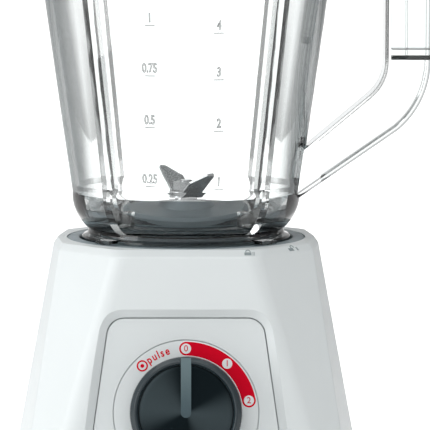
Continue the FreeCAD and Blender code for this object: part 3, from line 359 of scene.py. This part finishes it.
def spun_metal_with_painted_sheen():
    """Dark spun metal: fine rings round the object's own Z, and a painted highlight, a paler base colour that
    fans out to two sides.
    """
    tree = Tree("spun_metal_with_painted_sheen")
    split = tree.add("ShaderNodeSeparateXYZ", Vector=tree.coordinates)
    flat = tree.add("ShaderNodeCombineXYZ", X=split.outputs["X"], Y=split.outputs["Y"]).outputs[0]
    rings = tree.add("ShaderNodeTexNoise", Scale=9000.0, Detail=2.0)
    rings.noise_dimensions = "1D"
    tree.feed(rings, "W", tree.measure("LENGTH", flat))
    tangent = tree.nodes.new("ShaderNodeTangent")
    tangent.direction_type = "RADIAL"
    tangent.axis = "Z"
    painted_sheen_side = (math.cos(PAINTED_SHEEN_ANGLE), math.sin(PAINTED_SHEEN_ANGLE), 0)
    swing = tree.measure("DOT_PRODUCT", tree.vector("NORMALIZE", flat), painted_sheen_side)
    # painted highlight: the base colour pales toward the line through the middle at the sheen angle
    painted_sheen = tree.ramp(tree.number("ABSOLUTE", swing), 0.5, 1.0, 1.0)
    dark = tree.tint(rings.outputs["Fac"], (0.010, 0.016, 0.019), 0.25)
    tree.set(
        Base_Color=tree.mix(painted_sheen, dark, (0.06, 0.08, 0.088)),
        Metallic=1.0,
        Roughness=tree.spread(rings.outputs["Fac"], 0.3, 0.45),
        Anisotropic=0.85,
        Tangent=tangent.outputs[0],
    )
    return tree.material


FINISHES = {
    "housing_white": moulded("housing_white", (0.79, 0.835, 0.84), 0.38, change=0.006, gloss=0.35),
    "panel_white": moulded("panel_white", (0.77, 0.815, 0.82), 0.33, grain=0.0004, change=0.006),
    "dial_print": moulded("dial_print", (0.79, 0.835, 0.84), 0.34, change=0.006),
    "seat_grey": moulded("seat_grey", (0.27, 0.33, 0.36), 0.45, grain=0.0005, height=0.00005, change=0.04),
    "knob_slate": moulded("knob_slate", (0.02, 0.033, 0.04), 0.3, coat=0.15),
    "knob_disc": machined("knob_disc", (0.03, 0.035, 0.038), 0.3),
    "pointer_slate": pointer_slate(),
    "black_plastic": moulded("black_plastic", (0.02, 0.02, 0.022), 0.45, change=0.1),
    "rubber_black": rubbery("rubber_black", (0.02, 0.02, 0.02)),
    "screw_steel": machined("screw_steel", (0.55, 0.56, 0.57), 0.3),
    "shaft_steel": machined("shaft_steel", (0.6, 0.6, 0.61), 0.2),
    "blade_steel": machined("blade_steel", (0.62, 0.63, 0.64), 0.25, (8, 1, 1)),
    "lamination": cast("lamination", (0.16, 0.16, 0.17)),
    "copper_winding": wound("copper_winding", (0.5, 0.2, 0.08)),
    "commutator_copper": machined("commutator_copper", (0.6, 0.32, 0.18), 0.25),
    "carbon": rubbery("carbon", (0.015, 0.015, 0.016)),
    "bracket_aluminium": cast("bracket_aluminium", (0.5, 0.51, 0.52)),
    # the last colour of each clear finish is its painted shade edge-on
    "clear_jug": clear("clear_jug", (0.97, 0.985, 0.983), (0.05, 0.08, 0.085)),
    "clear_cap": clear("clear_cap", (0.97, 0.985, 0.985), (0.08, 0.11, 0.115)),
    "lid_white": moulded("lid_white", (0.79, 0.835, 0.84), 0.34, change=0.006),
    "seal_grey": rubbery("seal_grey", (0.4, 0.42, 0.43)),
    "bush_bronze": machined("bush_bronze", (0.5, 0.33, 0.15), 0.35),
}

# what a new piece rides on, the slot it stands for and its finish
Kind = namedtuple("Kind", "body slot_name material")
DIAL_RED = Kind("base", "dial_print", printed("red_print", (0.72, 0.001, 0.02)))
DIAL_WHITE = Kind("base", "dial_print", printed("white_print", (0.88, 0.9, 0.91)))
SHOULDER_GREY = Kind("base", "housing_white", printed("grey_print", (0.3, 0.35, 0.36), 0.08))
JUG_MARK = Kind("jug_unit", "clear_jug", printed("mark_grey", (0.035, 0.042, 0.044), 0.08))
# dark strokes that paint the shade at the grip insert's lower end
JUG_PAINTED_SHADE = Kind("jug_unit", "clear_jug", moulded("painted_shade_grey", (0.03, 0.045, 0.045), 0.2, change=0.05))
KNOB_METAL = Kind("speed_knob", "knob_disc", spun_metal_with_painted_sheen())


def paint_nodes():
    """Every CAD node takes the finish of its slot in the record."""
    for part in frame["record"]["subparts"]:
        materials = frame["nodes"][part["node"]].data.materials
        materials.clear()
        materials.append(FINISHES[part["material_slot"]])


# ---------------------------------------------------------------- places


def turned(angle, axis):
    """A turn by an angle in degrees about an axis."""
    return Matrix.Rotation(math.radians(angle), 4, axis)


def on_face(right, up, out):
    """A matrix at a point of the leaning front face: right, up along the face, and out of it, in metres."""
    lean = Matrix.Rotation(math.radians(90) - FACE_TILT, 4, "X")
    return Matrix.Translation(KNOB_CENTRE) @ lean @ Matrix.Translation((right, up, out))


def on_dial(clock, radius, out):
    """A matrix on the dial at an angle clockwise from the top, upright along the radius."""
    return on_face(0, 0, 0) @ turned(-clock, "Z") @ Matrix.Translation((0, radius, out))


def on_jug(across, height, out):
    """A matrix on the jug's outer wall at the front, across from the middle and square to the wall."""
    radius = JUG_CORNER_RADIUS + JUG_SLOPE * (height - JUG_CORNER_HEIGHT) + out
    angle = math.asin(across / radius)
    spot = Matrix.Rotation(angle, 4, "Z") @ Matrix.Translation((0, -radius, height))
    return spot @ Matrix.Rotation(math.radians(90) - math.atan(-JUG_SLOPE), 4, "X")


def on_shoulder(turn, reach, along, height, slope):
    """A matrix on the sloping shoulder: out from the axis at a turn from the front, then along the edge."""
    return turned(turn, "Z") @ Matrix.Translation((along, -reach, height)) @ turned(slope, "X")


# ---------------------------------------------------------------- shapes


def add_object(name, data, matrix, kind):
    """Links a new piece, gives it its material, and makes it ride on a body."""
    body, slot_name, material = kind
    thing = bpy.data.objects.new(name, data)
    bpy.context.scene.collection.objects.link(thing)
    thing.matrix_world = matrix
    thing.data.materials.append(material)
    bpy.context.view_layer.update()
    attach(thing, body)
    return thing


def arc(radius, start, end, steps, centre=(0, 0)):
    """Points of an arc; angles in degrees, counter-clockwise from +X."""
    angles = [math.radians(start + (end - start) * i / steps) for i in range(steps + 1)]
    return [(centre[0] + radius * math.cos(a), centre[1] + radius * math.sin(a)) for a in angles]


def round_outline(radius, steps):
    """Points of a whole circle, counter-clockwise from +X."""
    return arc(radius, 0, 360, steps)[:-1]


def circle(shape, radius, height, steps):
    """Corners of a circle at a height."""
    return [shape.verts.new((x, y, height)) for x, y in round_outline(radius, steps)]


def finished_mesh(name, shape):
    """A mesh from a built shape, with its faces turned outward."""
    mesh = bpy.data.meshes.new(name)
    bmesh.ops.recalc_face_normals(shape, faces=shape.faces)
    shape.to_mesh(mesh)
    shape.free()
    return mesh


def plate(name, outline, thick, matrix, kind):
    """A thin plate from an outline of (x, y) points, its back on the matrix's plane."""
    shape = bmesh.new()
    face = shape.faces.new([shape.verts.new((x, y, 0)) for x, y in outline])
    raised = bmesh.ops.extrude_face_region(shape, geom=[face])
    top = [v for v in raised["geom"] if isinstance(v, bmesh.types.BMVert)]
    bmesh.ops.translate(shape, verts=top, vec=(0, 0, thick))
    return add_object(name, finished_mesh(name, shape), matrix, kind)


def band_outline(radius, width, start_clock, end_clock):
    """The outline of a band round the dial with half-round ends, between two clock angles."""
    half = width / 2
    start, end = 90 - start_clock, 90 - end_clock
    outer = arc(radius + half, start, end, 48)
    inner = arc(radius - half, end, start, 48)
    end_middle = (radius * math.cos(math.radians(end)), radius * math.sin(math.radians(end)))
    start_middle = (radius * math.cos(math.radians(start)), radius * math.sin(math.radians(start)))
    end_cap = arc(half, end, end - 180, 14, end_middle)[1:-1]
    start_cap = arc(half, start + 180, start, 14, start_middle)[1:-1]
    return outer + end_cap + inner + start_cap


def flat_ring(name, inner, outer, thick, matrix, kind, steps=72):
    """A thin flat ring."""
    shape = bmesh.new()
    corners = ((inner, 0), (outer, 0), (outer, thick), (inner, thick))
    rows = [circle(shape, radius, height, steps) for radius, height in corners]
    for row, following in zip(rows, rows[1:] + rows[:1]):
        for j in range(steps):
            k = (j + 1) % steps
            shape.faces.new((row[j], row[k], following[k], following[j]))
    return add_object(name, finished_mesh(name, shape), matrix, kind)


def letters(name, words, size):
    """Text about the middle of its line, with no thickness yet."""
    text = bpy.data.curves.new(name, "FONT")
    text.body = words
    text.size = size
    text.align_x = "CENTER"
    text.align_y = "CENTER"
    return text


def stroke(name, points, thick, matrix, kind, closed=False):
    """A fine round bead along points in the matrix's plane."""
    line = bpy.data.curves.new(name, "CURVE")
    line.dimensions = "3D"
    line.bevel_depth = thick
    line.bevel_resolution = 3
    spline = line.splines.new("POLY")
    spline.points.add(len(points) - 1)
    for point, (x, y) in zip(spline.points, points):
        point.co = (x, y, 0, 1)
    spline.use_cyclic_u = closed
    return add_object(name, line, matrix, kind)


# ---------------------------------------------------------------- dial


def make_scale(lift):
    """The red band with its white edge and its numbered stops."""
    ends = (SCALE_STOPS["0"], SCALE_STOPS["2"])
    edge = band_outline(SCALE_RADIUS, SCALE_WIDTH + 2 * SCALE_EDGE, *ends)
    plate("scale_edge", edge, EDGE_THICK, on_face(0, 0, lift), DIAL_WHITE)
    band = band_outline(SCALE_RADIUS, SCALE_WIDTH, *ends)
    plate("scale_band", band, BAND_THICK, on_face(0, 0, lift), DIAL_RED)
    for digit, clock in SCALE_STOPS.items():
        spot = on_dial(clock, SCALE_RADIUS, lift + BAND_THICK)
        plate(f"stop_{digit}", round_outline(STOP_RADIUS, 40), STOP_THICK, spot, DIAL_WHITE)
        upright = spot @ turned(clock, "Z") @ Matrix.Translation((0, 0, STOP_THICK + HAIR))
        figure = letters(f"stop_figure_{digit}", digit, 4.0 * MM)
        figure.extrude = FIGURE_THICK
        add_object(f"stop_figure_{digit}", figure, upright, DIAL_RED)


def make_pulse_sign(lift):
    """A ring with a dot, and the word beside it along the dial."""
    spot = on_dial(PULSE_CLOCK, SCALE_RADIUS, lift)
    ring_inner, ring_outer, dot_radius = 1.9 * MM, 2.6 * MM, 0.9 * MM
    flat_ring("pulse_ring", ring_inner, ring_outer, EDGE_THICK, spot, DIAL_RED)
    plate("pulse_dot", round_outline(dot_radius, 24), EDGE_THICK, spot, DIAL_RED)
    base_line = SCALE_RADIUS - 1.5 * MM
    narrow = Matrix.Diagonal((0.8, 1, 1, 1))
    for letter, clock in PULSE_LETTERS:
        figure = letters(f"pulse_{letter}", letter, 5.2 * MM)
        figure.align_y = "BOTTOM_BASELINE"
        figure.offset = 0.1 * MM
        figure.extrude = FIGURE_THICK
        add_object(f"pulse_{letter}", figure, on_dial(clock, base_line, lift + HAIR) @ narrow, DIAL_RED)


def make_dial():
    """The printed scale and the pulse sign, just clear of the sunk panel's disc."""
    lift = HAIR - PANEL_DEPTH
    make_scale(lift)
    make_pulse_sign(lift)


# ---------------------------------------------------------------- knob


def make_spun_disc():
    """The knob's dark spun face, lathed in its own frame so that its tool lines run round it."""
    radius = KNOB_RADIUS - DISC_INSET
    low = KNOB_TOP - DISC_DEPTH
    shape = bmesh.new()
    top = shape.verts.new((0, 0, low + DISC_RISE))
    rows = []
    for share, level in DISC_PROFILE:
        rows.append(circle(shape, radius * share, low + DISC_RISE * level, DISC_STEPS))
    for j in range(DISC_STEPS):
        k = (j + 1) % DISC_STEPS
        shape.faces.new((top, rows[0][j], rows[0][k]))
        for inner, outer in zip(rows, rows[1:]):
            shape.faces.new((inner[j], outer[j], outer[k], inner[k]))
    for face in shape.faces:
        face.smooth = True
    disc = add_object("spun_disc", finished_mesh("spun_disc", shape), on_face(0, 0, 0), KNOB_METAL)
    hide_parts("knob_face")


# ---------------------------------------------------------------- jug markings and lock signs


def make_marks(side, across, marks):
    """Outlined volume figures one above the other, with a short line under each."""
    narrow = Matrix.Diagonal((0.72, 1, 1, 1))
    half_line, above_line, bead = 2.3 * MM, 3.5 * MM, 0.15 * MM
    line = [(-half_line, 0), (half_line, 0)]
    for words, height in marks.items():
        name = f"{side}_{words}".replace(".", "_")
        foot = on_jug(across, height * MM, 0.08 * MM)
        figure = letters(name, words, 5.9 * MM)
        figure.fill_mode = "NONE"
        figure.bevel_depth = bead
        add_object(name, figure, foot @ Matrix.Translation((0, above_line, 0)) @ narrow, JUG_MARK)
        stroke(name + "_line", line, bead, foot, JUG_MARK)


def make_lock_sign(name, spot, tall, swing):
    """A padlock with two bars beside it, in millimetres; swing moves the bow off the body to show it open."""
    body = [(-1.6, -1.6), (1.6, -1.6), (1.6, 0.3), (-1.6, 0.3)]
    plate(name + "_body", [(x * MM, y * tall * MM) for x, y in body], 0.04 * MM, spot, SHOULDER_GREY)
    bow = [(-1.0, 0.3), (-1.0, 0.9)] + arc(1.0, 180, 0, 10, (0, 0.9)) + [(1.0, 0.3)]
    points = [((x + swing) * MM, y * tall * MM) for x, y in bow]
    stroke(name + "_bow", points, 0.2 * MM, spot, SHOULDER_GREY)
    for i, x in enumerate((2.3, 2.9)):
        bar = [((x + swing) * MM, y * tall * MM) for y in (-1.6, 0.6)]
        stroke(f"{name}_bar_{i}", bar, 0.12 * MM, spot, SHOULDER_GREY)


def make_lock_signs():
    """A closed and an open padlock printed on the shoulder beside the seat."""
    front = on_shoulder(0, 61.1 * MM, 28.5 * MM, SEAT_TOP - 1.17 * MM, 26)
    facet = on_shoulder(47.2, 65.4 * MM, 1.0 * MM, SEAT_TOP - 1.15 * MM, 39.6)
    make_lock_sign("lock_closed", front, 1.25, 0.0)
    make_lock_sign("lock_open", facet, 0.95, 1.7)


def make_insert_end_painted_shade():
    """The grip insert's lower end: painted shade as a thick dark bead at the foot, and a fine dark line where
    its edge is rounded.
    """
    low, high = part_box("handle_cover")
    inset = 0.6 * MM
    x0, x1 = low[0] + inset, high[0] - inset
    y0, y1 = low[1] + inset, high[1] - inset
    loop = [(x0, y0), (x1, y0), (x1, y1), (x0, y1)]
    # painted shade: a thick dark bead at the foot and a fine dark line higher up
    for name, up, thick in (("insert_end_painted_shade", 0.9 * MM, 0.75 * MM), ("insert_painted_shade_line", 5.0 * MM, 0.18 * MM)):
        spot = Matrix.Translation((0, 0, low[2] + up))
        stroke(name, loop, thick, spot, JUG_PAINTED_SHADE, closed=True)


# ---------------------------------------------------------------- camera, light and floor


def make_camera():
    """The camera, a little below the jug's rim and looking slightly down at the seat and the knob."""
    data = bpy.data.cameras.new("camera")
    camera = bpy.data.objects.new("camera", data)
    bpy.context.scene.collection.objects.link(camera)
    camera.location = CAMERA_PLACE
    camera.rotation_euler = (math.radians(90) - CAMERA_DROP, 0, 0)
    data.sensor_width = 36
    data.lens = CAMERA_LENS
    data.shift_x = CAMERA_SHIFT
    data.clip_end = 20
    bpy.context.scene.camera = camera


def make_key_light():
    """A soft rectangular light on the left."""
    data = bpy.data.lights.new("key", "AREA")
    data.shape = "RECTANGLE"
    data.size, data.size_y = KEY_SIZE
    data.energy = KEY_POWER
    light = bpy.data.objects.new("key", data)
    light.location = KEY_PLACE
    light.rotation_euler = (Vector(KEY_AIM) - Vector(KEY_PLACE)).to_track_quat("-Z", "Y").to_euler()
    bpy.context.scene.collection.objects.link(light)


def make_surround():
    """The studio round the object: white behind it, a bright ceiling and dimmer sides and front."""
    world = bpy.data.worlds.new("surround")
    bpy.context.scene.world = world
    world.use_nodes = True
    tree = Nodes(world.node_tree)
    direction = tree.add("ShaderNodeTexCoord").outputs["Generated"]
    level = 0.0
    for toward, start, end, strength in SURROUND:
        swing = tree.measure("DOT_PRODUCT", direction, Vector(toward).normalized())
        level = tree.number("ADD", level, tree.ramp(swing, start, end, strength))
    background = tree.nodes["Background"]
    tree.feed(background, "Color", (1, 1, 1, 1))
    tree.feed(background, "Strength", level)


def floor_glow(tree):
    """How brightly the floor glows: not at all in front, and in a widening pool behind the object."""
    split = tree.add("ShaderNodeSeparateXYZ", Vector=tree.coordinates).outputs
    behind = tree.ramp(split["Y"], 0.0, GLOW_RISE, FLOOR_GLOW)
    aside = tree.number("ABSOLUTE", split["X"])
    narrowed = tree.number("MULTIPLY_ADD", split["Y"], -POOL_WIDENING, aside)
    return tree.number("MULTIPLY", behind, tree.ramp(narrowed, POOL_END, POOL_HALF, 1.0))


def make_floor():
    """A plain pale floor, lit a little from within like a light table."""
    shape = bmesh.new()
    corners = ((-1, -1), (1, -1), (1, 1), (-1, 1))
    shape.faces.new([shape.verts.new((x * FLOOR_HALF, y * FLOOR_HALF, FLOOR_LEVEL)) for x, y in corners])
    mesh = bpy.data.meshes.new("floor")
    shape.to_mesh(mesh)
    shape.free()
    floor = bpy.data.objects.new("floor", mesh)
    bpy.context.scene.collection.objects.link(floor)
    tree = Tree("floor_white")
    tree.set(
        Base_Color=tree.tint(tree.noise(0.3), (0.88, 0.88, 0.88), 0.01),
        Roughness=0.6,
        Emission_Color=(1, 1, 1, 1),
        Emission_Strength=floor_glow(tree),
    )
    mesh.materials.append(tree.material)


paint_nodes()
make_camera()
make_key_light()
make_surround()
make_floor()
bpy.context.scene.view_settings.view_transform = "Standard"
make_dial()
make_spun_disc()
make_marks("litre", -16.5 * MM, LITRES)
make_marks("cup", 15.0 * MM, CUPS)
make_lock_signs()
make_insert_end_painted_shade()
